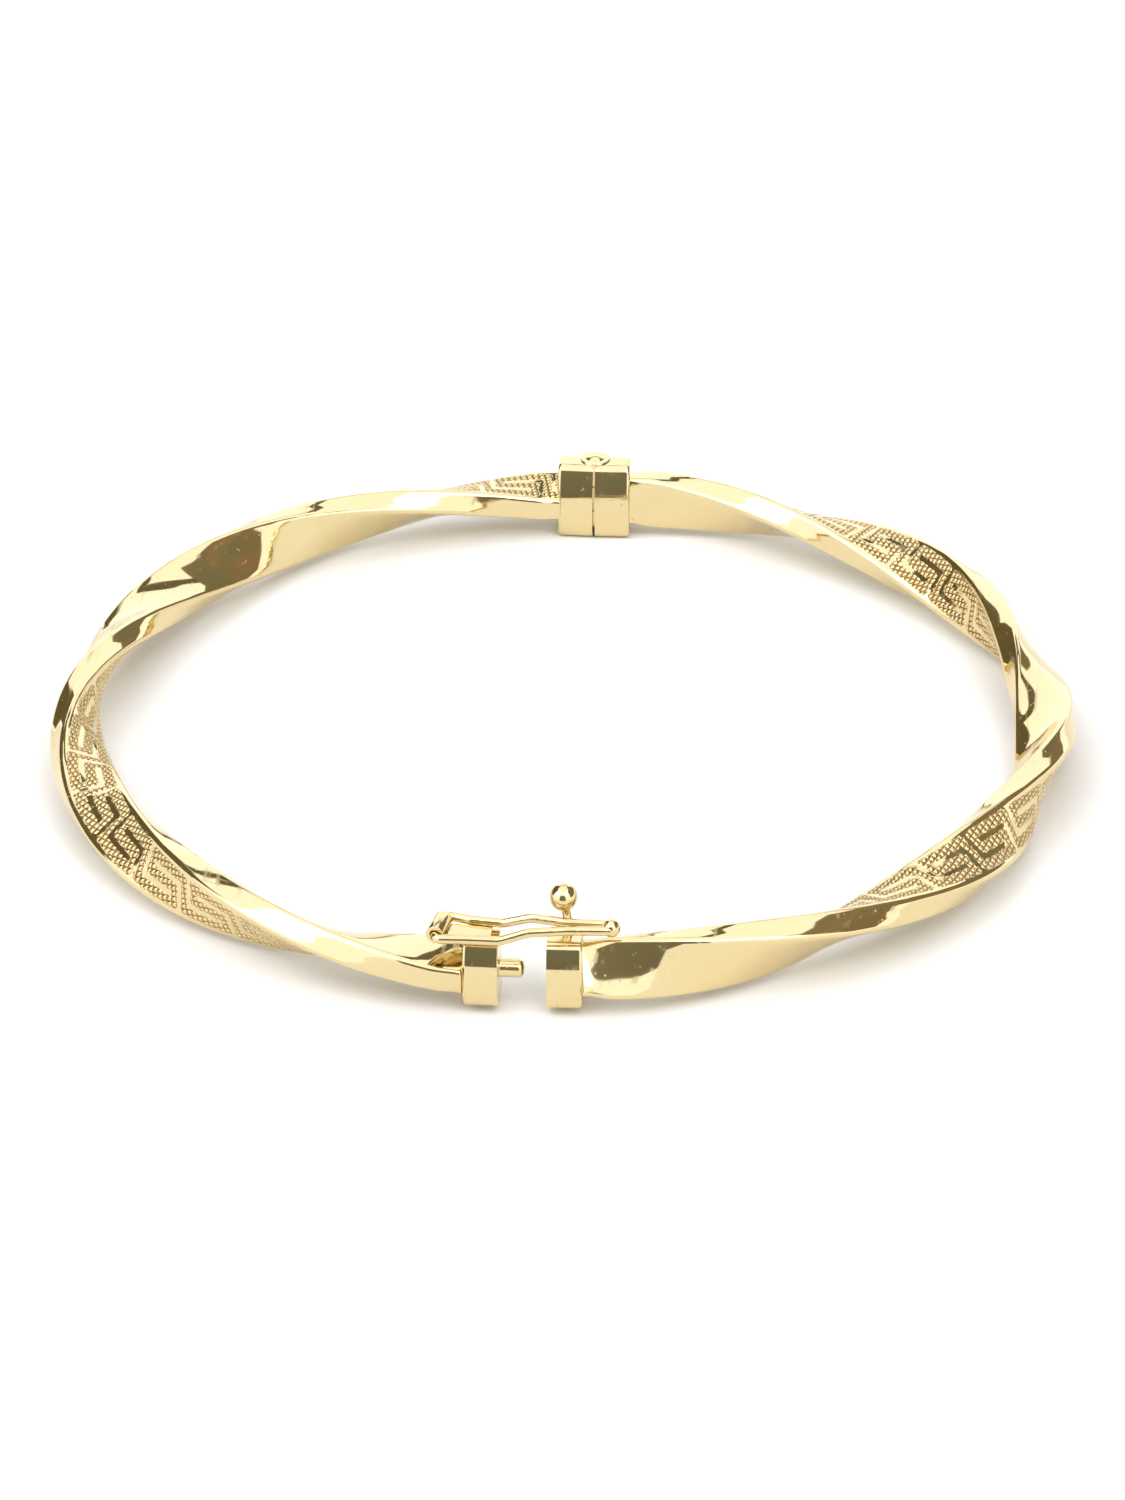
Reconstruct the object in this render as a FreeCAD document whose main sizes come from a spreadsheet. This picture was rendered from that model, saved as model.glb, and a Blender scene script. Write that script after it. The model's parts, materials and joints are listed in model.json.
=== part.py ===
import FreeCAD, Part
import math
import os
import Sketcher
from FreeCAD import Placement, Rotation, Vector

# A hinged bangle: two hollow twisted bands, a knuckle hinge at +Y, a peg clasp with a safety catch at -Y.
# Frame, millimetres: origin at the ring's centre on the plane it rests on, +Z up. The left half stays put.

doc = FreeCAD.newDocument("hinged_bangle")
sheet = doc.addObject("Spreadsheet::Sheet", "sizes")

driving_sizes = [
    ("ring_radius", 32.0, "ring centre to the middle of the band"),
    ("mid_height", 2.75, "resting plane to the middle of the band"),
    ("rest_opening", 2.6, "degrees that the right half stands open at rest"),
    ("split_gap", 0.03, "from the split plane to each half's end face"),
    ("band_width", 3.95, "band section, wide faces"),
    ("band_thick", 1.8, "band section, narrow faces"),
    ("band_corner", 0.32, "outer corner radius of the band section"),
    ("band_wall", 0.3, "sheet thickness of the hollow band"),
    ("left_twist_start", 297.0, "degrees, left plain face above outward, at the hinge"),
    ("left_twist_end", -292.0, "degrees, the same at the clasp"),
    ("right_twist_start", 158.0, "degrees, right plain face above outward, at the hinge"),
    ("right_twist_end", 771.0, "degrees, the same at the clasp"),
    ("twist_ease", 0.18, "how much slower the twist runs near the ends"),
    ("seat_depth", 0.45, "how far a band end goes into its cap"),
    ("seat_gap", 0.02, "solder gap round a band end"),
    ("hinge_cap_long", 2.6, "along the ring"),
    ("hinge_cap_thick", 3.3, "across the ring"),
    ("hinge_cap_tall", 5.5, "along Z"),
    ("clasp_cap_long", 2.3, "along the ring"),
    ("clasp_cap_thick", 3.1, "across the ring"),
    ("clasp_cap_tall", 4.5, "along Z"),
    ("hinge_cap_bow", 0.62, "how far the hinge cap's inner face bows out from its chord"),
    ("hinge_cap_foot", 0.25, "that chord's lower end behind the cap's full thickness"),
    ("hinge_cap_lean", 0.8, "that chord's upper end further back than its lower end"),
    ("clasp_cap_bow", 0.5, "how far the clasp cap's outer face bows out from its chord"),
    ("clasp_cap_foot", 0.2, "that chord's lower end behind the cap's full thickness"),
    ("clasp_cap_lean", 0.65, "that chord's upper end further back than its lower end"),
    ("cap_back_bow", 0.22, "how far the other face of each cap bows out"),
    ("cap_corner", 0.7, "radius along the cap's long edges"),
    ("cap_end_round", 0.4, "radius round the cap's end, next to the band"),
    ("pin_offset", 0.62, "hinge axis outward of the band's middle"),
    ("pin_dia", 1.2, "hinge pin"),
    ("pin_head_dia", 1.36, "domed head on the upper end of the pin"),
    ("pin_head_rise", 0.2, "height of the domed head"),
    ("knuckle_dia", 2.1, "outside of the hinge tubes"),
    ("knuckle_proud", 0.1, "upper knuckle above the cap's top"),
    ("middle_knuckle_tall", 1.9, "along the pin"),
    ("knuckle_gap", 0.05, "end gap between knuckles, and from a knuckle to the other cap"),
    ("pin_clearance", 0.04, "radial, pin in the middle knuckle"),
    ("relief_angle", 32.0, "degrees cut back on the outer side of each hinge cap"),
    ("peg_dia", 1.2, "clasp peg"),
    ("peg_reach", 1.55, "peg beyond the cap's end face"),
    ("peg_seat", 0.9, "peg inside the left cap"),
    ("peg_collar_dia", 1.5, "ring at the foot of the peg"),
    ("peg_collar_thick", 0.3, "along the peg"),
    ("socket_bore", 1.36, "hole that takes the peg"),
    ("socket_dia", 2.0, "outside of the socket tube"),
    ("socket_deep", 1.72, "length of the socket tube"),
    ("catch_wire_dia", 0.6, "safety catch wire"),
    ("catch_clearance", 0.05, "radial, wire in the catch tube"),
    ("catch_tube_dia", 1.2, "outside of the catch tube"),
    ("catch_tube_long", 2.0, "along the tube"),
    ("catch_tube_along", 3.8, "tube axis from the split plane"),
    ("catch_tube_rise", 0.45, "tube axis above the clasp cap's top"),
    ("catch_skew", 9.0, "degrees that the tube is turned, square to the band there"),
    ("catch_step", 0.6, "rise of the wires over the right cap"),
    ("bead_dia", 1.15, "bead on the catch's tip"),
    ("plate_wide", 1.3, "solder plate under the catch tube"),
    ("plate_thick", 0.35, "solder plate under the catch tube"),
    ("ball_dia", 1.8, "ball stud"),
    ("post_dia", 0.58, "post under the ball"),
]


def fill_sheet():
    for row, (alias, value, note) in enumerate(driving_sizes, start=1):
        sheet.set(f"A{row}", alias)
        sheet.set(f"B{row}", str(value))
        sheet.set(f"C{row}", note)
        sheet.setAlias(f"B{row}", alias)
    doc.recompute()


fill_sheet()


def size(alias):
    return float(sheet.get(alias))


ring_radius = size("ring_radius")
mid_height = size("mid_height")
hinge_axis = Vector(0, ring_radius + size("pin_offset"), 0)
clasp_top = mid_height + size("clasp_cap_tall") / 2

# The right half is drawn closed and stands open by the rest opening, turned about the hinge pin.
opened = Placement(Vector(), Rotation(Vector(0, 0, 1), size("rest_opening")), hinge_axis)


# ---- helpers: bind sizes, combine shapes, name a finished piece

def bind(feature, **expressions):
    for prop, expression in expressions.items():
        feature.setExpression(prop.replace("_", "."), expression)
    return feature


def primitive(kind, place, **expressions):
    feature = doc.addObject(f"Part::{kind}", kind.lower())
    feature.Placement = place
    return bind(feature, **expressions)


def solid(shape, name="solid"):
    feature = doc.addObject("Part::Feature", name)
    feature.Shape = shape
    return feature


def joined(*features):
    fuse = doc.addObject("Part::MultiFuse", "joined")
    fuse.Shapes = list(features)
    return fuse


def cut(base, *tools):
    difference = doc.addObject("Part::Cut", "cut")
    difference.Base = base
    difference.Tool = tools[0] if len(tools) == 1 else joined(*tools)
    return difference


pieces = []


def piece(label, feature, half=None):
    feature.Label = label
    if half is not None:
        feature.Placement = half.multiply(feature.Placement)
    pieces.append(feature)
    return feature


def along(axis):
    return Rotation(Vector(0, 0, 1), Vector(*axis))


# ---- twisted bands

def plain_face_angle(side, share):
    start = size(f"{side}_twist_start")
    end = size(f"{side}_twist_end")
    eased = share - size("twist_ease") * math.sin(2 * math.pi * share) / (2 * math.pi)
    return math.radians(start + (end - start) * eased)


def band_section(side, distance, grow):
    """The rounded rectangle at a distance along the half ring, grown or shrunk by grow."""
    mirror = -1 if side == "left" else 1
    share = distance / (math.pi * ring_radius)
    turn = math.pi * share
    outward = Vector(mirror * math.sin(turn), math.cos(turn), 0)
    centre = outward * ring_radius + Vector(0, 0, mid_height)
    angle = plain_face_angle(side, share)
    up = Vector(0, 0, 1)
    across = outward * math.cos(angle) + up * math.sin(angle)
    wide = outward * -math.sin(angle) + up * math.cos(angle)
    half_wide = size("band_width") / 2 + grow
    half_thick = size("band_thick") / 2 + grow
    round_corner = max(size("band_corner") + grow, 0.08)

    def at(u, v):
        return centre + wide * u + across * v

    edges = []
    for su, sv in ((1, 1), (-1, 1), (-1, -1), (1, -1)):
        mid = Vector(su * (half_wide - round_corner), sv * (half_thick - round_corner), 0)
        diagonal = round_corner * math.sqrt(0.5)
        along_wide = at(mid.x + su * round_corner, mid.y)
        middle = at(mid.x + su * diagonal, mid.y + sv * diagonal)
        along_thick = at(mid.x, mid.y + sv * round_corner)
        first, last = (along_wide, along_thick) if su == sv else (along_thick, along_wide)
        edges.append((first, middle, last))
    outline = []
    for index, (first, middle, last) in enumerate(edges):
        outline.append(Part.Arc(first, middle, last).toShape())
        outline.append(Part.LineSegment(last, edges[(index + 1) % 4][0]).toShape())
    return Part.Wire(outline)


def band_run(side, start, end, grow, steps):
    stations = [start + (end - start) * step / steps for step in range(steps + 1)]
    return Part.makeLoft([band_section(side, station, grow) for station in stations], True, False)


def band(side):
    start = size("hinge_cap_long") - size("seat_depth")
    end = math.pi * ring_radius - size("clasp_cap_long") + size("seat_depth")
    steps = 56
    outer = band_run(side, start, end, 0, steps)
    inner = band_run(side, start, end, -size("band_wall"), steps)
    return outer.cut(inner)


def band_seat(side, place):
    """Space that a band end takes up in its cap, with the solder gap."""
    length = size(f"{place}_cap_long")
    start, end = length - size("seat_depth") - size("seat_gap"), length + 1.5
    if place == "clasp":
        half_ring = math.pi * ring_radius
        start, end = half_ring - end, half_ring - start
    return solid(band_run(side, start, end, size("seat_gap"), 6), "seat")


# ---- end caps

def bow_radius(place, bow, lean="0"):
    half = f"(sizes.{place}_cap_tall / 2)"
    return f"({half} * {half} + {lean} * {lean} / 4 + {bow} * {bow}) / (2 * {bow})"


def barrel_section(body, side, place):
    """Cap outline: the face towards -Y bows out and leans back, the one towards +Y only bows a little."""
    sketch = body.newObject("Sketcher::SketchObject", "barrel")
    plane = [item for item in body.Origin.OriginFeatures if item.Role == "YZ_Plane"][0]
    sketch.AttachmentSupport = (plane, [""])
    sketch.MapMode = "FlatFace"
    front = -1 if side == "right" else 1
    half_thick, b = size(f"{place}_cap_thick") / 2, size(f"{place}_cap_tall") / 2
    foot, lean, bow = (size(f"{place}_cap_{word}") for word in ("foot", "lean", "bow"))
    back = half_thick - size("cap_back_bow")
    front_low = Vector(front * (half_thick - foot), -b, 0)
    front_top = Vector(front * (half_thick - foot - lean), b, 0)
    front_middle = (front_low + front_top) / 2 + Vector(front, lean / (2 * b), 0).normalize() * bow
    back_low, back_top = Vector(-front * back, -b, 0), Vector(-front * back, b, 0)
    sketch.addGeometry(Part.LineSegment(front_low, back_low), False)
    sketch.addGeometry(Part.Arc(back_low, Vector(-front * half_thick, 0, 0), back_top), False)
    sketch.addGeometry(Part.LineSegment(back_top, front_top), False)
    sketch.addGeometry(Part.Arc(front_top, front_middle, front_low), False)
    # an arc runs anticlockwise, so its two ends swap on the mirrored side
    first, last = (1, 2) if side == "right" else (2, 1)
    rule = Sketcher.Constraint
    ends = [(0, 1), (0, 2), (1, first), (1, last), (2, 1), (2, 2), (3, first), (3, last)]
    for near, far in ((1, 2), (3, 4), (5, 6), (7, 0)):
        sketch.addConstraint(rule("Coincident", *ends[near], *ends[far]))
    sketch.addConstraint(rule("Horizontal", 0))
    sketch.addConstraint(rule("Horizontal", 2))
    sketch.addConstraint(rule("Vertical", 0, 2, 2, 1))
    half = f"sizes.{place}_cap_thick / 2"
    foot_edge = f"{half} - sizes.{place}_cap_foot"
    front_bow, front_lean = f"sizes.{place}_cap_bow", f"sizes.{place}_cap_lean"

    def across(point, reach, expression, on_front):
        pair = [(-1, 1), point] if (front > 0) == on_front else [point, (-1, 1)]
        index = sketch.addConstraint(rule("DistanceX", *pair[0], *pair[1], reach))
        sketch.setExpression(f"Constraints[{index}]", expression)

    across((0, 1), half_thick - foot, foot_edge, True)
    across((2, 2), half_thick - foot - lean, f"{foot_edge} - {front_lean}", True)
    across((0, 2), back, f"{half} - sizes.cap_back_bow", False)
    sizes_of = [
        (rule("DistanceY", 0, 1, -1, 1, b), f"sizes.{place}_cap_tall / 2"),
        (rule("DistanceY", 0, 2, 2, 1, 2 * b), f"sizes.{place}_cap_tall"),
        (rule("Radius", 1, (b * b + size("cap_back_bow") ** 2) / (2 * size("cap_back_bow"))),
         bow_radius(place, "sizes.cap_back_bow")),
        (rule("Radius", 3, (b * b + lean * lean / 4 + bow * bow) / (2 * bow)),
         bow_radius(place, front_bow, front_lean)),
    ]
    for constraint, expression in sizes_of:
        index = sketch.addConstraint(constraint)
        sketch.setExpression(f"Constraints[{index}]", expression)
    return sketch


def edge_names(shape, wanted):
    return [f"Edge{number}" for number, edge in enumerate(shape.Edges, start=1) if wanted(edge)]


def cap_block(side, place):
    """A barrel-sided block that runs from the split plane towards its band."""
    body = doc.addObject("PartDesign::Body", "cap_block")
    sketch = barrel_section(body, side, place)
    pad = body.newObject("PartDesign::Pad", "pad")
    pad.Profile = sketch
    pad.setExpression("Length", f"sizes.{place}_cap_long - sizes.split_gap")
    doc.recompute()
    long_edges = edge_names(pad.Shape, lambda edge: edge.BoundBox.XLength > 0.5)
    rounded = body.newObject("PartDesign::Fillet", "long_edges")
    rounded.Base = (pad, long_edges)
    rounded.setExpression("Radius", "sizes.cap_corner")
    doc.recompute()
    length = pad.Shape.BoundBox.XMax
    end_edges = edge_names(rounded.Shape, lambda edge: edge.BoundBox.XMin > length - 0.01)
    softened = body.newObject("PartDesign::Fillet", "end_edges")
    softened.Base = (rounded, end_edges)
    softened.setExpression("Radius", "sizes.cap_end_round")
    mirror = -1 if side == "left" else 1
    row = 1 if place == "hinge" else -1
    turn = Rotation(Vector(0, 0, 1), 180 if side == "left" else 0)
    body.Placement = Placement(Vector(mirror * size("split_gap"), row * ring_radius, mid_height), turn)
    return body


# ---- hinge: knuckle tubes, pin and the two caps round them

def hinge_cylinder(diameter, low, high):
    """An upright cylinder on the hinge axis; the three sizes are expressions."""
    place = Placement(hinge_axis, Rotation())
    feature = primitive("Cylinder", place, Radius=f"({diameter}) / 2", Height=f"({high}) - ({low})")
    return bind(feature, Placement_Base_z=f"sizes.mid_height + ({low})")


middle_top = "sizes.middle_knuckle_tall / 2"
outer_low = f"{middle_top} + sizes.knuckle_gap"
outer_high = "sizes.hinge_cap_tall / 2"
knuckle_top = f"{outer_high} + sizes.knuckle_proud"
swept_dia = "sizes.knuckle_dia + 2 * sizes.knuckle_gap"


def relief(side):
    """Wedge cut from the outer side of a hinge cap so that the other half can swing open."""
    mirror = -1 if side == "left" else 1
    tilt = Rotation(Vector(0, 0, 1), -mirror * size("relief_angle"))
    corner = tilt.multVec(Vector(-5 if side == "right" else 0, 0, 0))
    place = Placement(hinge_axis + corner, tilt)
    block = primitive("Box", place, Height="sizes.hinge_cap_tall + 1")
    block.Length = 5
    block.Width = 5
    return block


def left_hinge_cap():
    seats = [hinge_cylinder("sizes.knuckle_dia", outer_low, f"{outer_high} + 1"),
             hinge_cylinder("sizes.knuckle_dia", f"-({outer_high}) - 1", f"-({outer_low})"),
             hinge_cylinder(swept_dia, f"-({outer_low})", outer_low)]
    return piece("left_hinge_cap", cut(cap_block("left", "hinge"), band_seat("left", "hinge"),
                                       relief("left"), *seats))


def right_hinge_cap():
    seats = [hinge_cylinder(swept_dia, middle_top, f"{outer_high} + 1"),
             hinge_cylinder(swept_dia, f"-({outer_high}) - 1", f"-({middle_top})"),
             hinge_cylinder("sizes.knuckle_dia", f"-({middle_top})", middle_top)]
    return piece("right_hinge_cap", cut(cap_block("right", "hinge"), band_seat("right", "hinge"),
                                        relief("right"), *seats), opened)


def knuckle(label, low, high, bore, half=None):
    tube = cut(hinge_cylinder("sizes.knuckle_dia", low, high),
               hinge_cylinder(bore, f"({low}) - 1", f"({high}) + 1"))
    return piece(label, tube, half)


def hinge_pin():
    """Straight pin, its upper end spread into a low dome over the upper knuckle."""
    stem = hinge_cylinder("sizes.pin_dia", f"-({outer_high})", knuckle_top)
    head_radius, rise = size("pin_head_dia") / 2, size("pin_head_rise")
    dome_radius = (head_radius ** 2 + rise ** 2) / (2 * rise)
    top = mid_height + size("hinge_cap_tall") / 2 + size("knuckle_proud")
    ball = primitive("Sphere", Placement(hinge_axis + Vector(0, 0, top + rise - dome_radius), Rotation()))
    ball.Radius = dome_radius
    above = primitive("Cylinder", Placement(hinge_axis + Vector(0, 0, top), Rotation()),
                      Radius="sizes.pin_head_dia", Height="sizes.pin_head_rise + 1")
    dome = doc.addObject("Part::Common", "dome")
    dome.Base, dome.Tool = ball, above
    return piece("hinge_pin", joined(stem, dome))


# ---- clasp: peg, socket and the two caps

def clasp_cylinder(diameter, low, high):
    """A cylinder along X through the clasp's middle; the three sizes are expressions."""
    place = Placement(Vector(0, -ring_radius, mid_height), along((1, 0, 0)))
    feature = primitive("Cylinder", place, Radius=f"({diameter}) / 2", Height=f"({high}) - ({low})")
    return bind(feature, Placement_Base_x=low)


def clasp_peg():
    seat = "-sizes.peg_seat"
    reach = "sizes.peg_reach - sizes.split_gap"
    stem = clasp_cylinder("sizes.peg_dia", seat, reach)
    rounded = doc.addObject("Part::Fillet", "rounded_tip")
    rounded.Base = stem
    doc.recompute()
    tip = [number for number, edge in enumerate(stem.Shape.Edges, start=1)
           if edge.BoundBox.XMin > size("peg_reach") - 0.2]
    tip_radius = size("peg_dia") * 0.3
    rounded.Edges = [(number, tip_radius, tip_radius) for number in tip]
    inner_end = "-sizes.split_gap - sizes.peg_collar_thick"
    collar = clasp_cylinder("sizes.peg_collar_dia", inner_end, "-sizes.split_gap")
    return piece("clasp_peg", joined(rounded, collar))


def peg_socket():
    tube = cut(clasp_cylinder("sizes.socket_dia", "sizes.split_gap", "sizes.split_gap + sizes.socket_deep"),
               clasp_cylinder("sizes.socket_bore", "0", "3"))
    return piece("peg_socket", tube, opened)


def stud_points():
    """Foot and ball centre of the stud on the right cap, with the bangle closed."""
    foot = Vector(1.4, -ring_radius + 1.35, clasp_top - 0.35)
    ball = Vector(1.0, -ring_radius + 1.55, clasp_top + 2.1)
    return foot, ball


def post_rod(reach_down, reach_up):
    foot, ball = stud_points()
    line = ball - foot
    start = foot - line.normalize() * reach_down
    place = Placement(start, Rotation(Vector(0, 0, 1), line))
    rod = primitive("Cylinder", place, Radius="sizes.post_dia / 2")
    rod.Height = reach_down + (ball - foot).Length - reach_up
    return rod


post_seat = 0.3
post_in_ball = size("ball_dia") * 0.3


def stud():
    piece("stud_post", post_rod(post_seat, post_in_ball), opened)
    ball = primitive("Sphere", Placement(stud_points()[1], Rotation()), Radius="sizes.ball_dia / 2")
    piece("stud_ball", cut(ball, post_rod(post_seat, post_in_ball)), opened)


def left_clasp_cap():
    holes = [clasp_cylinder("sizes.peg_dia", "-sizes.peg_seat", "1"),
             clasp_cylinder("sizes.peg_collar_dia", "-sizes.split_gap - sizes.peg_collar_thick", "1")]
    return piece("left_clasp_cap", cut(cap_block("left", "clasp"), band_seat("left", "clasp"), *holes))


def right_clasp_cap():
    holes = [clasp_cylinder("sizes.socket_dia", "-1", "sizes.split_gap + sizes.socket_deep"),
             post_rod(post_seat, post_in_ball)]
    return piece("right_clasp_cap", cut(cap_block("right", "clasp"), band_seat("right", "clasp"), *holes),
                 opened)


# ---- safety catch: tube, plate, wire loop and bead

skew = Rotation(Vector(0, 0, 1), -size("catch_skew"))
tube_centre = Vector(-size("catch_tube_along"), -ring_radius + 0.1, clasp_top + size("catch_tube_rise"))
tube_axis = skew.multVec(Vector(0, 1, 0))


def tube_rod(diameter, length):
    start = tube_centre - tube_axis * (length / 2)
    lying = Placement(start, Rotation(Vector(0, 0, 1), tube_axis))
    rod = primitive("Cylinder", lying, Radius=f"({diameter}) / 2")
    rod.Height = length
    return rod


def catch_tube():
    bore = "sizes.catch_wire_dia + 2 * sizes.catch_clearance"
    tube = cut(tube_rod("sizes.catch_tube_dia", size("catch_tube_long")), tube_rod(bore, 10))
    return piece("catch_tube", tube)


def catch_plate():
    near, far = size("catch_tube_along"), 0.5
    corner = Vector(-near, tube_centre.y - size("plate_wide") / 2, clasp_top)
    plate = primitive("Box", Placement(corner, Rotation()),
                      Width="sizes.plate_wide", Height="sizes.plate_thick")
    plate.Length = near - far
    return piece("catch_plate", cut(plate, tube_rod("sizes.catch_tube_dia", 10)))


def rounded_route(points, radii):
    """Straight runs joined by tangent arcs, one radius for each point between the two ends."""
    edges = []
    last = points[0]
    for before, corner, after, radius in zip(points, points[1:], points[2:], radii):
        back = (before - corner).normalize()
        ahead = (after - corner).normalize()
        half_angle = back.getAngle(ahead) / 2
        setback = radius / math.tan(half_angle)
        bisector = (back + ahead).normalize()
        first = corner + back * setback
        second = corner + ahead * setback
        middle = corner + bisector * (radius / math.sin(half_angle) - radius)
        edges.append(Part.LineSegment(last, first).toShape())
        edges.append(Part.Arc(first, middle, second).toShape())
        last = second
    edges.append(Part.LineSegment(last, points[-1]).toShape())
    return Part.Wire(edges)


tip = Vector(7.0, -ring_radius - 0.05, tube_centre.z + size("catch_step"))


def catch_side(sign):
    """Points of one wire from the tube's mouth to the bead; sign is -1 in front and 1 behind."""
    mouth = size("catch_tube_long") / 2 + 0.42
    low = tube_centre.z
    high = low + size("catch_step")
    middle = -ring_radius - 0.15
    return [tube_centre + tube_axis * (sign * mouth),
            Vector(-1.9, middle + 0.1 + sign * 1.15, low),
            Vector(0.1, middle + sign * 1.05, low),
            Vector(1.9, middle + sign * 0.88, high),
            Vector(4.2, middle + sign * 0.46, high),
            tip + Vector(0, sign * 0.33, 0)]


def catch_wire_and_bead():
    front, back = catch_side(-1), catch_side(1)
    points = front[::-1] + back
    bends = [1.5, 1.2, 1.2, 1.5]
    radii = bends + [0.42] + [0.42] + bends[::-1]
    route = rounded_route(points, radii)
    radius = size("catch_wire_dia") / 2
    direction = points[1] - points[0]
    profile = Part.Wire(Part.makeCircle(radius, points[0], direction))
    wire = solid(route.makePipeShell([profile], True, False), "wire")
    bead = primitive("Sphere", Placement(tip, Rotation()), Radius="sizes.bead_dia / 2")
    spare = primitive("Sphere", Placement(tip, Rotation()), Radius="sizes.bead_dia / 2")
    piece("catch_wire", cut(wire, spare))
    piece("catch_bead", bead)


# ---- the whole bangle

def build():
    piece("left_band", solid(band("left"), "band"))
    piece("right_band", solid(band("right"), "band"), opened)
    left_hinge_cap()
    right_hinge_cap()
    knuckle("upper_knuckle", outer_low, knuckle_top, "sizes.pin_dia")
    knuckle("lower_knuckle", f"-({outer_high})", f"-({outer_low})", "sizes.pin_dia")
    knuckle("middle_knuckle", f"-({middle_top})", middle_top,
            "sizes.pin_dia + 2 * sizes.pin_clearance", opened)
    hinge_pin()
    left_clasp_cap()
    clasp_peg()
    right_clasp_cap()
    peg_socket()
    stud()
    catch_tube()
    catch_plate()
    catch_wire_and_bead()


def export():
    doc.recompute()
    for feature in doc.Objects:
        if "Invalid" in feature.State or "Error" in feature.State:
            raise RuntimeError(f"{feature.Label} failed to build")
    os.makedirs("parts", exist_ok=True)
    for feature in pieces:
        if feature.Shape.isNull() or not feature.Shape.isValid():
            raise RuntimeError(f"{feature.Label} has no valid shape")
        feature.Shape.exportStep(f"parts/{feature.Label}.step")
        box = feature.Shape.BoundBox
        print(f"{feature.Label:16} solids {len(feature.Shape.Solids)} volume {feature.Shape.Volume:8.3f}"
              f"  z {box.ZMin:6.2f} to {box.ZMax:6.2f}")


build()
export()
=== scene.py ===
import json
import math
import bmesh
import bpy
from mathutils import Matrix, Vector

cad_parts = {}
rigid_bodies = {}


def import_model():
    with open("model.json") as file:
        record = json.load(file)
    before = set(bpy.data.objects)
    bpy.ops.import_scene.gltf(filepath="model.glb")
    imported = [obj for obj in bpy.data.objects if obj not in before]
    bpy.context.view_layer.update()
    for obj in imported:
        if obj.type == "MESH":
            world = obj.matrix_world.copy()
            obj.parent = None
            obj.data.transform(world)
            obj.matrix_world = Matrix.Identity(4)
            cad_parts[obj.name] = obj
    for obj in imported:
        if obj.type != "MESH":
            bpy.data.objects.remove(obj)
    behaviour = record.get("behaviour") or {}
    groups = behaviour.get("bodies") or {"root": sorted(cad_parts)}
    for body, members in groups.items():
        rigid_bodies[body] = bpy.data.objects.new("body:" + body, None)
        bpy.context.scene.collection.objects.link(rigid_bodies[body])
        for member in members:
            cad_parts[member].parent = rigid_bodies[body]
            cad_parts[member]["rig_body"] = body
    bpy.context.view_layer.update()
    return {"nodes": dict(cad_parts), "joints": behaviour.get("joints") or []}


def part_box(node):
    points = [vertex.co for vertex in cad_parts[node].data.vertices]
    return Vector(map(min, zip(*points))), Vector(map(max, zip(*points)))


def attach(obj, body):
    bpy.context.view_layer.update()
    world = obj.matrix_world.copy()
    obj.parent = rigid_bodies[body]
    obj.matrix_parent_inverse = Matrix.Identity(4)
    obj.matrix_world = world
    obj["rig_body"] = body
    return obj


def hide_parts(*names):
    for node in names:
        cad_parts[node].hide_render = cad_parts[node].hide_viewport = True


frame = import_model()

mm = 0.001
joints = {joint["name"]: joint for joint in frame["joints"]}


def middleOf(node):
    low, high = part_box(node)
    return (low + high) / 2


# ring measures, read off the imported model, with the right half's rest opening in degrees
ring = {
    "radius": -middleOf("clasp_peg").y,
    "midHeight": middleOf("left_hinge_cap").z,
    "pin": Vector(joints["main_hinge"]["pos_m"]),
    "restOpening": -joints["main_hinge"]["range_deg"][0],
}
ring["halfLength"] = math.pi * ring["radius"]
openRight = (Matrix.Translation(ring["pin"])
             @ Matrix.Rotation(math.radians(ring["restOpening"]), 4, "Z")
             @ Matrix.Translation(-ring["pin"]))


class Flow:
    # one socket; sums, products and powers of it add Math nodes
    def __init__(self, book, socket):
        self.book = book
        self.socket = socket

    def math(self, operation, other):
        return self.book.add("Math", {"operation": operation}, [self, other])

    def __add__(self, other):
        return self.math("ADD", other)

    __radd__ = __add__

    def __sub__(self, other):
        return self.math("SUBTRACT", other)

    def __rsub__(self, other):
        return self.book.add("Math", {"operation": "SUBTRACT"}, [other, self])

    def __mul__(self, other):
        return self.math("MULTIPLY", other)

    __rmul__ = __mul__

    def __pow__(self, other):
        return self.math("POWER", other)


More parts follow.
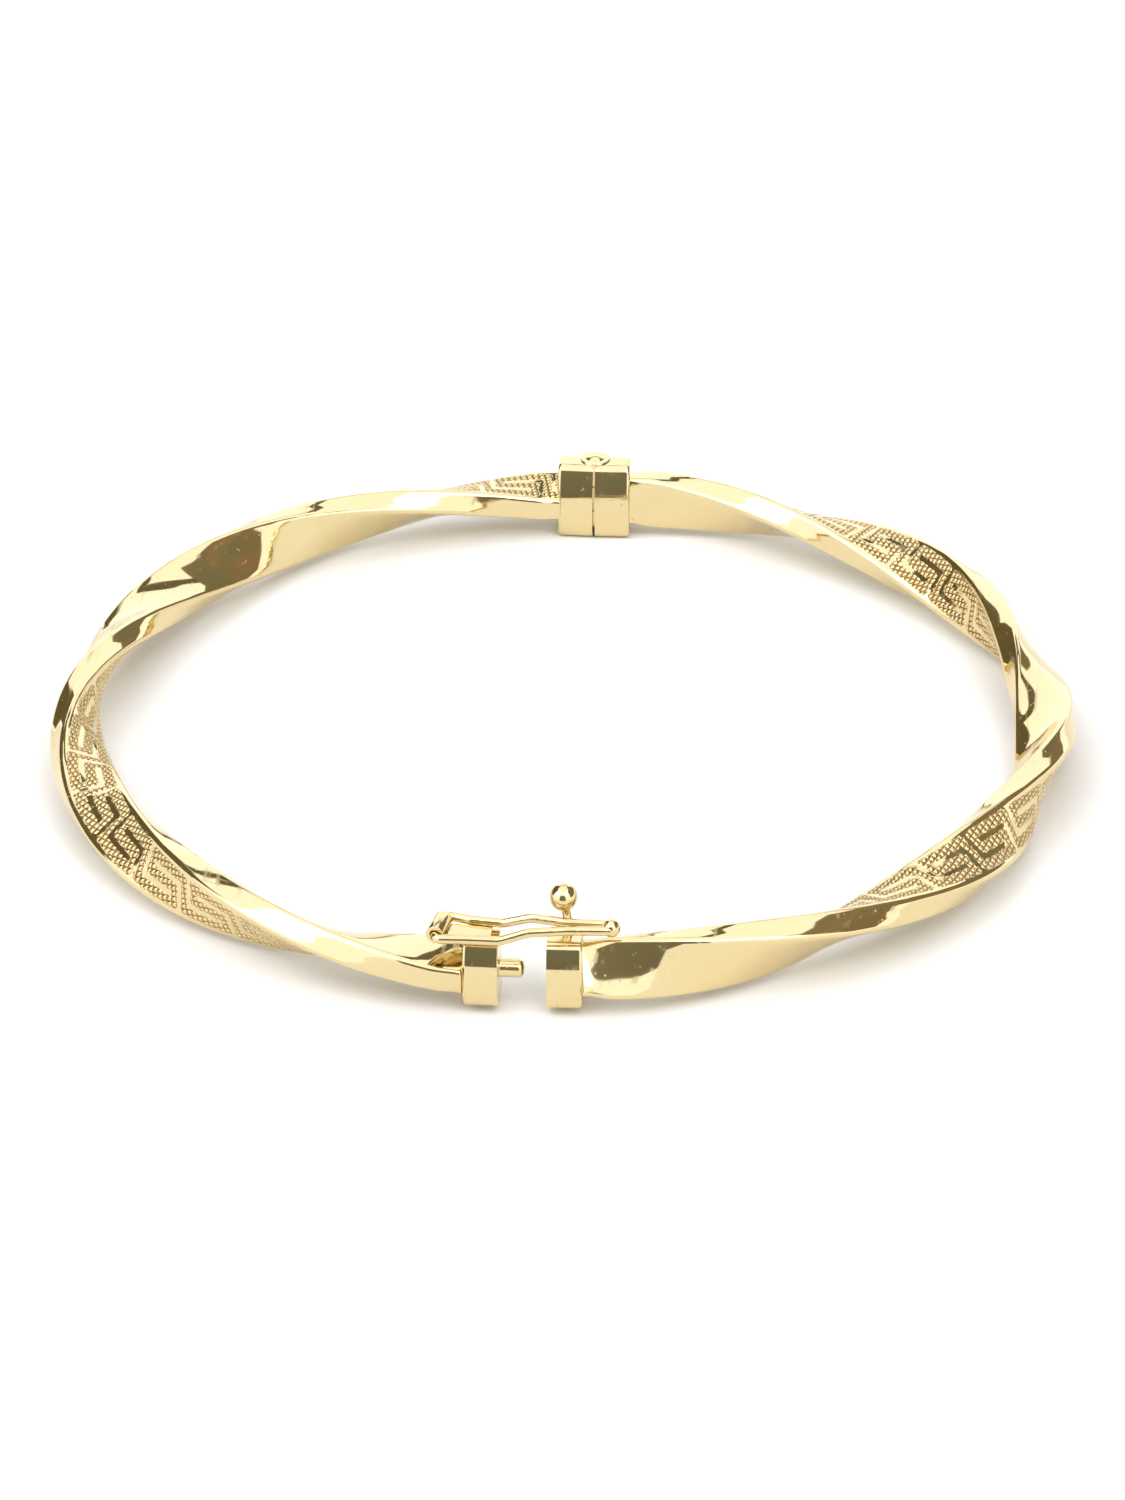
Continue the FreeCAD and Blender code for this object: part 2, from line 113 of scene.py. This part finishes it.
class Book:
    # the node tree of one material
    def __init__(self, material):
        material.use_nodes = True
        self.tree = material.node_tree
        self.tree.nodes.clear()

    def add(self, kind, settings=None, values=None, out=0):
        # settings come first, then the sockets' values or links; out is one output or several
        node = self.tree.nodes.new("ShaderNode" + kind)
        for name, value in (settings or {}).items():
            if name == "stops":
                self.fillRamp(node.color_ramp, *value)
            else:
                setattr(node, name, value)
        pairs = values.items() if isinstance(values, dict) else enumerate(values or [])
        for key, value in pairs:
            if isinstance(value, Flow):
                self.tree.links.new(value.socket, node.inputs[key])
            else:
                node.inputs[key].default_value = value
        if isinstance(out, tuple):
            return [Flow(self, node.outputs[index]) for index in out]
        return Flow(self, node.outputs[out])

    def fillRamp(self, ramp, interpolation, stops):
        ramp.interpolation = interpolation
        while len(ramp.elements) < len(stops):
            ramp.elements.new(0.5)
        for element, (place, shade) in zip(ramp.elements, stops):
            element.position = place
            element.color = (shade, shade, shade, 1)

    def ramp(self, value, *stops, interpolation="LINEAR"):
        return self.add("ValToRGB", {"stops": (interpolation, stops)}, {"Fac": value})

    def blend(self, factor, first, second):
        return self.add("Mix", {"data_type": "RGBA"}, {0: factor, 6: first, 7: second}, out=2)

    def place(self, turn, stretch):
        # Object coordinates, turned by degrees and stretched
        spot = self.add("TexCoord", out=3)
        angles = [math.radians(angle) for angle in turn]
        return self.add("Mapping", None, {"Vector": spot, "Rotation": angles, "Scale": stretch})

    def noise(self, scale, detail=2.0, rough=0.5, turn=(0, 0, 0), stretch=(1, 1, 1)):
        values = {"Vector": self.place(turn, stretch), "Scale": scale, "Detail": detail, "Roughness": rough}
        return self.add("TexNoise", None, values)

    def finish(self, **sockets):
        # names of the shader's sockets, with spaces written as underscores
        values = {name.replace("_", " "): value for name, value in sockets.items()}
        shader = self.add("BsdfPrincipled", None, values)
        self.tree.links.new(shader.socket, self.tree.nodes.new("ShaderNodeOutputMaterial").inputs[0])


goldLook = {
    "pale": (0.76, 0.63, 0.36, 1),
    "warm": (0.73, 0.575, 0.30, 1),
    "worked": (0.80, 0.60, 0.30, 1),    # the engraved cells
    "paintedLineShade": (0.22, 0.12, 0.035, 1),    # painted shade that darkens the engraved cut lines
    "polish": 0.05,                     # roughness of the buffed metal, and what is added to it:
    "smearRough": 0.035, "scratchRough": 0.10, "dustRough": 0.38, "workedRough": 0.24,
    "scratches": (((20, 35, 10), 1900), ((70, -25, 60), 1600), ((-35, 80, 120), 2200)),   # turn, fineness
    "scratchStretch": 0.02,
    "rippleDepth": 0.000008,            # metres
}

keyLook = {
    "pitch": 4.4,                                        # length of one key, millimetres
    "stroke": 3.45,                                      # long strokes
    "row": 1.12,                                         # outer rows, from the middle of the face
    "rowHalf": 0.32, "crossHalf": 0.23,                  # half widths of the strokes
    "soft": 0.10,                                        # edge of a stroke
    "hatch": ((1.0, 0.15, 0.43), (-0.36, 1.0, 0.39)),    # shares along and across, spacing of the cut lines
    "rise": 0.03, "sink": 0.035,                         # pillows and cut lines in the mesh
    "pillow": 0.00007, "lineDepth": 0.00003,             # and in the finish, metres
    "workedShare": 0.8, "lineDark": 0.8,                 # how far the worked colour and the painted shade in the cut lines show
}


def hairScratches(book):
    # families of long fine scratches, each a stretched noise cut to thin lines
    total = None
    for turn, fineness in goldLook["scratches"]:
        field = book.noise(fineness, 0.0, 0.4, turn, (1, goldLook["scratchStretch"], 1))
        line = book.ramp(field, (0.70, 0.0), (0.76, 1.0))
        total = line if total is None else total + line
    return total


def engravedCells(book):
    # the cut lines, and the height of the little pillows between them, on the strip's own UV
    strip = book.add("UVMap", {"uv_map": "strip"})
    along, across = book.add("SeparateXYZ", None, {0: strip}, out=(0, 1))
    lines = None
    height = None
    for alongShare, acrossShare, spacing in keyLook["hatch"]:
        place = (along * alongShare + across * acrossShare) * (1 / spacing)
        distance = book.add("Math", {"operation": "PINGPONG"}, [place, 0.5])   # 0 on a line, 0.5 between
        line = book.ramp(distance, (0.05, 1.0), (0.13, 0.0), interpolation="EASE")
        bulge = 1 - (1 - distance * 2) ** 2.0
        lines = line if lines is None else book.add("Math", {"operation": "MAXIMUM"}, [lines, line])
        height = bulge if height is None else height * bulge
    return lines, height


def goldMaterial(name, polish, tint=0.0, engraved=False, hammered=0.0):
    material = bpy.data.materials.new(name)
    book = Book(material)
    drift = book.ramp(book.noise(90), (0.3, 0.0), (0.7, 1.0))
    colour = book.blend(drift * 0.5 + tint, goldLook["pale"], goldLook["warm"])
    scratches = hairScratches(book)
    dust = book.ramp(book.noise(2600, 2.0, 0.6), (0.69, 0.0), (0.73, 1.0))
    smear = book.ramp(book.noise(240, 3.0, 0.6), (0.35, 0.0), (0.75, 1.0))
    rough = (polish + smear * goldLook["smearRough"] + scratches * goldLook["scratchRough"]
             + dust * goldLook["dustRough"])
    depth = book.noise(260, 1.0, 0.4) * goldLook["rippleDepth"]
    if engraved:
        key = book.add("Attribute", {"attribute_name": "key"}, out=2)
        lines, height = engravedCells(book)
        colour = book.blend(key * keyLook["workedShare"], colour, goldLook["worked"])
        # painted shade: the engraved cut lines are darkened in the colour
        colour = book.blend(key * lines * keyLook["lineDark"], colour, goldLook["paintedLineShade"])
        rough = rough + key * goldLook["workedRough"]
        depth = depth + key * (height * keyLook["pillow"] - lines * keyLook["lineDepth"])
    if hammered:
        depth = depth + book.noise(900) * hammered
    bump = book.add("Bump", None, {"Height": depth, "Distance": 1.0, "Strength": 1.0})
    book.finish(Base_Color=colour, Metallic=1.0, Roughness=rough, Normal=bump)
    return material


bandGold = goldMaterial("bandGold", goldLook["polish"], engraved=True)
capGold = goldMaterial("capGold", goldLook["polish"] - 0.01, tint=0.1)
wireGold = goldMaterial("wireGold", goldLook["polish"] + 0.05, tint=0.4, hammered=0.00003)
pegGold = goldMaterial("pegGold", goldLook["polish"] + 0.07, tint=0.45, hammered=0.00004)
print("gold materials made")

bandLook = {
    "width": 3.95, "thick": 1.8, "corner": 0.32,         # section, millimetres
    "twist": {"left": (297.0, -292.0), "right": (158.0, 771.0)},   # plain face's angle, hinge to clasp
    "twistEase": 0.18,                                   # slower twisting near the caps
    "hingeEnd": 2.5, "claspEnd": 2.2,                    # ends of the sheet, just inside the caps
    "rings": 1220, "faceSteps": 42, "cornerSteps": 4, "narrowSteps": 3, "plainSteps": 8,
    "flare": 0.10, "flareReach": 0.55,                   # swelling where solder joins band and cap
    "taper": 0.13, "taperReach": 1.1,                    # narrowing of the sheet towards its caps
    "crown": 0.05,                                       # how far the wide faces bow out
    "wideFrom": 0.8,                                     # from this far out a point is on a wide face
    "wave": 0.014,                                       # unevenness of the drawn sheet
    "phase": {"left": 0.7, "right": 2.9},
    "slowWave": (0.83, 1.1, 0.31), "quickWave": (2.3, 1.7, 0.35),
}


def keyStrokes():
    # one repeat of the running key: ends and half width of each stroke
    pitch, stroke, row = keyLook["pitch"], keyLook["stroke"], keyLook["row"]
    hook = stroke - (pitch - stroke)
    wide, thin = keyLook["rowHalf"], keyLook["crossHalf"]
    return [
        ((0, row), (stroke, row), wide),
        ((stroke, row), (stroke, -row), thin),
        ((stroke, -row), (pitch + hook, -row), wide),
        ((hook, -row), (hook, 0), thin),
        ((hook, 0), (0, 0), wide),
        ((0, 0), (0, row), thin),
    ]


def smooth(value):
    value = min(max(value, 0.0), 1.0)
    return value * value * (3 - 2 * value)


def insideKey(along, across, strokes):
    # 1 on the engraved path, 0 on the plain ground
    pitch = keyLook["pitch"]
    along = along % pitch
    best = 0.0
    for (a0, b0), (a1, b1), half in strokes:
        for shift in (-pitch, 0, pitch):
            a = along + shift
            nearA = min(max(a, min(a0, a1)), max(a0, a1))
            nearB = min(max(across, min(b0, b1)), max(b0, b1))
            gap = half - math.hypot(a - nearA, across - nearB)
            best = max(best, smooth(gap / keyLook["soft"] + 0.5))
    return best


def cellRelief(along, across):
    # height of the pillows between the cut lines, 0 in a line and 1 on a pillow's top
    height = 1.0
    for alongShare, acrossShare, pitch in keyLook["hatch"]:
        place = (along * alongShare + across * acrossShare) / pitch
        fromLine = abs(place - round(place)) * 2
        height *= 1 - (1 - fromLine) ** 2
    return height


def plainFaceAngle(side, share):
    # share is 0 at the hinge and 1 at the clasp
    start, end = bandLook["twist"][side]
    eased = share - bandLook["twistEase"] * math.sin(2 * math.pi * share) / (2 * math.pi)
    return math.radians(start + (end - start) * eased)


def bandAxes(side, distance):
    # middle of the band, and its thickness and width directions, with the bangle closed
    mirror = -1 if side == "left" else 1
    turn = distance * mm / ring["radius"]
    outward = Vector((mirror * math.sin(turn), math.cos(turn), 0))
    up = Vector((0, 0, 1))
    angle = plainFaceAngle(side, turn / math.pi)
    across = outward * math.cos(angle) + up * math.sin(angle)
    wide = up * math.cos(angle) - outward * math.sin(angle)
    return outward * ring["radius"] + up * ring["midHeight"], across, wide


def bandOutline():
    # stations round the section, from one edge of the engraved face back to it:
    # place across the width, place through the thickness, and whether it is engraved
    corner = bandLook["corner"]
    flatWide, flatThick = bandLook["width"] / 2 - corner, bandLook["thick"] / 2 - corner

    def onCorner(sideWide, sideThick, degrees):
        angle = math.radians(degrees)
        return (sideWide * flatWide + corner * math.cos(angle),
                sideThick * flatThick + corner * math.sin(angle), False)

    steps = bandLook["faceSteps"]
    stations = [(flatWide * (1 - 2 * step / steps), -bandLook["thick"] / 2, True) for step in range(steps)]
    turns = ((-1, -1, 270), (-1, 1, 180), (1, 1, 90), (1, -1, 0))
    flats = (bandLook["narrowSteps"], bandLook["plainSteps"], bandLook["narrowSteps"])
    for index, (sideWide, sideThick, start) in enumerate(turns):
        for step in range(bandLook["cornerSteps"] + 1):
            stations.append(onCorner(sideWide, sideThick, start - 90 * step / bandLook["cornerSteps"]))
        if index < len(flats):
            last, following = stations[-1], onCorner(*turns[index + 1])
            for step in range(1, flats[index]):
                share = step / flats[index]
                stations.append((last[0] + (following[0] - last[0]) * share,
                                 last[1] + (following[1] - last[1]) * share, False))
    return stations


def unevenness(side, distance, across):
    # slow dents and quicker ripples of hand-finished sheet
    phase = bandLook["phase"][side]
    along, width, lean = bandLook["slowWave"]
    slow = math.sin(distance * along + phase) * math.sin(across * width + distance * lean)
    along, width, share = bandLook["quickWave"]
    quick = math.sin(distance * along + across * width + phase * 2)
    return bandLook["wave"] * (slow + share * quick)


def finishMesh(name, work, material):
    mesh = bpy.data.meshes.new(name)
    work.to_mesh(mesh)
    work.free()
    mesh.polygons.foreach_set("use_smooth", [True] * len(mesh.polygons))
    mesh.materials.append(material)
    piece = bpy.data.objects.new(name, mesh)
    bpy.context.scene.collection.objects.link(piece)
    return piece


def ringSetting(side, distance, start, end):
    # where one ring of the band stands, and how its section changes near the caps
    fromEnd = min(distance - start, end - distance)
    swell = bandLook["flare"] * math.exp(-fromEnd / bandLook["flareReach"])
    narrowing = 1 - bandLook["taper"] * math.exp(-(fromEnd / bandLook["taperReach"]) ** 2)
    return (*bandAxes(side, distance), distance, swell, narrowing)


def makeBand(side):
    # a flat grid is wrapped round the section and along the twist, and its long edges meet
    outline = bandOutline()
    count = len(outline)
    strokes = keyStrokes()
    start, end = bandLook["hingeEnd"], ring["halfLength"] / mm - bandLook["claspEnd"]
    halfWide = bandLook["width"] / 2
    mirror = -1 if side == "left" else 1
    work = bmesh.new()
    bmesh.ops.create_grid(work, x_segments=bandLook["rings"], y_segments=count, size=0.5)
    work.verts.index_update()
    keyLayer = work.verts.layers.float.new("key")
    strip = work.loops.layers.uv.new("strip")
    rings = [ringSetting(side, start + (end - start) * index / bandLook["rings"], start, end)
             for index in range(bandLook["rings"] + 1)]
    places = {}
    for vert in work.verts:
        index = round((vert.co.x + 0.5) * bandLook["rings"])
        centre, across, wide, distance, swell, narrowing = rings[index]
        placeWide, placeThick, engraved = outline[round((vert.co.y + 0.5) * count) % count]
        places[vert.index] = (distance, placeWide * mirror)
        lift = bandLook["crown"] * (1 - (placeWide / halfWide) ** 2) + unevenness(side, distance, placeWide)
        if engraved:
            key = insideKey(*places[vert.index], strokes)
            height = cellRelief(*places[vert.index])
            lift += key * (keyLook["rise"] * height - keyLook["sink"] * (1 - height))
            vert[keyLayer] = key
        if abs(placeThick) <= bandLook["wideFrom"]:
            lift = 0
        outwards = swell / math.hypot(placeWide, placeThick)
        thick = placeThick * (1 + outwards) + math.copysign(lift, placeThick)
        vert.co = centre + (across * thick + wide * placeWide * (narrowing + outwards)) * mm
    for face in work.faces:
        for corner in face.loops:
            corner[strip].uv = places[corner.vert.index]
    bmesh.ops.remove_doubles(work, verts=work.verts, dist=1e-7)
    bmesh.ops.holes_fill(work, edges=[edge for edge in work.edges if edge.is_boundary])
    bmesh.ops.recalc_face_normals(work, faces=work.faces)
    if side == "right":
        bmesh.ops.transform(work, matrix=openRight, verts=work.verts)
    band = finishMesh(side + "_twisted_band", work, bandGold)
    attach(band, side + "_half")
    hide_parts(side + "_band")


makeBand("left")
makeBand("right")
print("bands made")

# the other pieces, each with its gold and the rounding of its edges in millimetres
fittings = {
    "left_hinge_cap": (capGold, 0.05), "right_hinge_cap": (capGold, 0.05),
    "left_clasp_cap": (capGold, 0.06), "right_clasp_cap": (capGold, 0.06),
    "upper_knuckle": (capGold, 0.05), "middle_knuckle": (capGold, 0.03),
    "lower_knuckle": (capGold, 0.03), "hinge_pin": (capGold, 0.03),
    "clasp_peg": (pegGold, 0.05), "peg_socket": (pegGold, 0.04),
    "catch_tube": (wireGold, 0.05), "catch_plate": (wireGold, 0.08),
    "catch_wire": (wireGold, 0.03), "catch_bead": (capGold, 0.03),
    "stud_ball": (capGold, 0.03), "stud_post": (wireGold, 0.03),
}

capLook = {"solderedEnd": 0.75, "rounding": 0.26, "segments": 5}   # length drawn solid, radius of its rim
edgeLook = {"segments": 3, "sharperThan": math.radians(38), "mergeFlat": math.radians(1)}


def roundCap(work, node):
    # the end that meets the band is drawn solid, as it is once soldered, and its rim is polished round
    mirror = -1 if node.startswith("left") else 1
    if mirror > 0:
        bmesh.ops.transform(work, matrix=openRight.inverted(), verts=work.verts)
    radius = capLook["rounding"] * mm
    start = max(vert.co.x * mirror for vert in work.verts) - capLook["solderedEnd"] * mm
    cut = bmesh.ops.bisect_plane(work, geom=[*work.verts, *work.edges, *work.faces], dist=1e-7,
                                 plane_co=(mirror * start, 0, 0), plane_no=(mirror, 0, 0), clear_outer=True)
    rim = [item for item in cut["geom_cut"] if isinstance(item, bmesh.types.BMEdge)]
    section = [vert.co for edge in rim for vert in edge.verts]
    low = Vector([min(spot[axis] for spot in section) for axis in range(3)])
    high = Vector([max(spot[axis] for spot in section) for axis in range(3)])
    centre, half = (low + high) / 2, (high - low) / 2
    forward, inset = 0, 0
    for step in range(capLook["segments"] + 1):
        angle = math.radians(90 * step / capLook["segments"])
        nextForward = capLook["solderedEnd"] * mm - radius + radius * math.sin(angle)
        nextInset = radius * (1 - math.cos(angle))
        grown = bmesh.ops.extrude_edge_only(work, edges=rim)["geom"]
        rim = [item for item in grown if isinstance(item, bmesh.types.BMEdge)]
        corners = [item for item in grown if isinstance(item, bmesh.types.BMVert)]
        narrower = [(half[axis] - nextInset) / (half[axis] - inset) for axis in (1, 2)]
        bmesh.ops.scale(work, vec=(1, *narrower), space=Matrix.Translation(-centre), verts=corners)
        bmesh.ops.translate(work, vec=(mirror * (nextForward - forward), 0, 0), verts=corners)
        forward, inset = nextForward, nextInset
    bmesh.ops.holes_fill(work, edges=[edge for edge in work.edges if edge.is_boundary])
    bmesh.ops.recalc_face_normals(work, faces=work.faces)
    bmesh.ops.dissolve_limit(work, angle_limit=edgeLook["mergeFlat"], verts=work.verts, edges=work.edges)
    if mirror > 0:
        bmesh.ops.transform(work, matrix=openRight, verts=work.verts)


def softCopy(node, material, radius):
    # a copy of the machined shape with its edges rounded and its shading evened
    work = bmesh.new()
    work.from_mesh(frame["nodes"][node].data)
    bmesh.ops.remove_doubles(work, verts=work.verts, dist=1e-6)
    bmesh.ops.dissolve_limit(work, angle_limit=edgeLook["mergeFlat"], verts=work.verts, edges=work.edges)
    if node.endswith("_cap"):
        roundCap(work, node)
    piece = finishMesh(node + "_gold", work, material)
    rounding = piece.modifiers.new("edges", "BEVEL")
    rounding.width = radius * mm
    rounding.segments = edgeLook["segments"]
    rounding.limit_method = "ANGLE"
    rounding.angle_limit = edgeLook["sharperThan"]
    rounding.use_clamp_overlap = True
    evening = piece.modifiers.new("shading", "WEIGHTED_NORMAL")
    evening.keep_sharp = True
    evening.weight = 80
    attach(piece, frame["nodes"][node]["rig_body"])
    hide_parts(node)


for node, (material, radius) in fittings.items():
    softCopy(node, material, radius)
print("caps and fittings made")

cameraPlace = {
    "azimuth": 6.0, "elevation": 29.9, "roll": -0.5,     # degrees, azimuth from the clasp's side
    "distance": 0.35, "lens": 123.6, "sensor": 36,
    "aimRight": 0.75, "aimUp": -2.5,                     # aim beside the ring's middle, millimetres
}


def direction(azimuth, elevation):
    # from the ring's middle: azimuth from the clasp's side towards the right, in degrees
    azimuth, elevation = math.radians(azimuth), math.radians(elevation)
    return Vector((math.sin(azimuth) * math.cos(elevation), -math.cos(azimuth) * math.cos(elevation),
                   math.sin(elevation)))


def makeCamera():
    back = direction(cameraPlace["azimuth"], cameraPlace["elevation"])
    right = direction(cameraPlace["azimuth"] + 90, 0)
    up = back.cross(right)
    centre = Vector((0, 0, ring["midHeight"]))
    target = centre + (right * cameraPlace["aimRight"] + up * cameraPlace["aimUp"]) * mm
    data = bpy.data.cameras.new("camera")
    data.lens = cameraPlace["lens"]
    data.sensor_width = cameraPlace["sensor"]
    data.clip_start = 0.01
    camera = bpy.data.objects.new("camera", data)
    camera.location = centre + back * cameraPlace["distance"]
    aim = (target - camera.location).to_track_quat("-Z", "Y")
    roll = Matrix.Rotation(math.radians(cameraPlace["roll"]), 3, "Z").to_quaternion()
    camera.rotation_mode = "QUATERNION"
    camera.rotation_quaternion = aim @ roll
    bpy.context.scene.collection.objects.link(camera)
    bpy.context.scene.camera = camera


studio = {
    "floorColour": (0.85, 0.835, 0.81, 1), "floorHalf": 4, "skyColour": (1.50, 1.55, 1.62, 1),
    # dim openings of the tent: azimuths, elevations, distance and two shades
    "openings": {
        "rightOpening": (64, 152, 10, 58, 0.62, (0.17, 0.165, 0.11), (0.24, 0.17, 0.10)),
        "leftOpening": (-150, -88, 2, 50, 0.62, (0.11, 0.10, 0.05), (0.15, 0.11, 0.06)),
        "frontOpening": (-26, 22, 0, 39, 0.60, (0.17, 0.18, 0.14), (0.20, 0.18, 0.13)),
        "backSlot": (150, 222, 38, 45, 0.66, (0.12, 0.11, 0.06), (0.14, 0.12, 0.07)),
    },
    "openingSteps": 24,
    # azimuth, elevation, distance, size and watts
    "softLights": {"leftBox": (-58, 48, 1.0, 0.7, 3.0), "rightBox": (42, 52, 0.9, 0.5, 2.0)},
    "dull": 0.9, "sheen": 0.1,                           # roughness and specular level of paper and cards
}


def plainMaterial(name, colour, other=None):
    # one even colour, or two in slow clouds
    material = bpy.data.materials.new(name)
    book = Book(material)
    paint = colour
    if other:
        cloud = book.ramp(book.noise(3.5), (0.38, 0.0), (0.62, 1.0))
        paint = book.blend(cloud, (*colour, 1), (*other, 1))
    book.finish(Base_Color=paint, Roughness=studio["dull"], Specular_IOR_Level=studio["sheen"])
    return material


def makeFloor():
    work = bmesh.new()
    bmesh.ops.create_grid(work, x_segments=1, y_segments=1, size=studio["floorHalf"])
    floor = finishMesh("floor", work, plainMaterial("paper", studio["floorColour"]))


def makeOpening(name, fromAzimuth, toAzimuth, low, high, distance, shade, otherShade):
    # a curved card that only reflections see: one upright edge spun about the middle of the floor
    work = bmesh.new()
    heights = (distance * math.tan(math.radians(low)), distance * math.tan(math.radians(high)))
    start = direction(fromAzimuth, 0) * distance
    corners = [work.verts.new((start.x, start.y, height)) for height in heights]
    edge = work.edges.new(corners)
    bmesh.ops.spin(work, geom=corners + [edge], cent=(0, 0, 0), axis=(0, 0, 1),
                   steps=studio["openingSteps"], angle=math.radians(toAzimuth - fromAzimuth), use_merge=False)
    bmesh.ops.recalc_face_normals(work, faces=work.faces)
    card = finishMesh(name, work, plainMaterial(name + "Grey", shade, otherShade))
    card.visible_camera = False
    card.visible_shadow = False


def makeSoftLight(name, azimuth, elevation, distance, size, power):
    light = bpy.data.lights.new(name, "AREA")
    light.energy = power
    light.size = size
    softLight = bpy.data.objects.new(name, light)
    softLight.location = direction(azimuth, elevation) * distance
    softLight.rotation_mode = "QUATERNION"
    softLight.rotation_quaternion = (-softLight.location).to_track_quat("-Z", "Y")
    bpy.context.scene.collection.objects.link(softLight)


def makeStudio():
    makeFloor()
    for name, values in studio["openings"].items():
        makeOpening(name, *values)
    for name, values in studio["softLights"].items():
        makeSoftLight(name, *values)
    world = bpy.data.worlds.new("tent")
    world.use_nodes = True
    world.node_tree.nodes["Background"].inputs[0].default_value = studio["skyColour"]
    bpy.context.scene.world = world
    bpy.context.scene.view_settings.view_transform = "Standard"


makeCamera()
makeStudio()
print("camera, floor and light made")
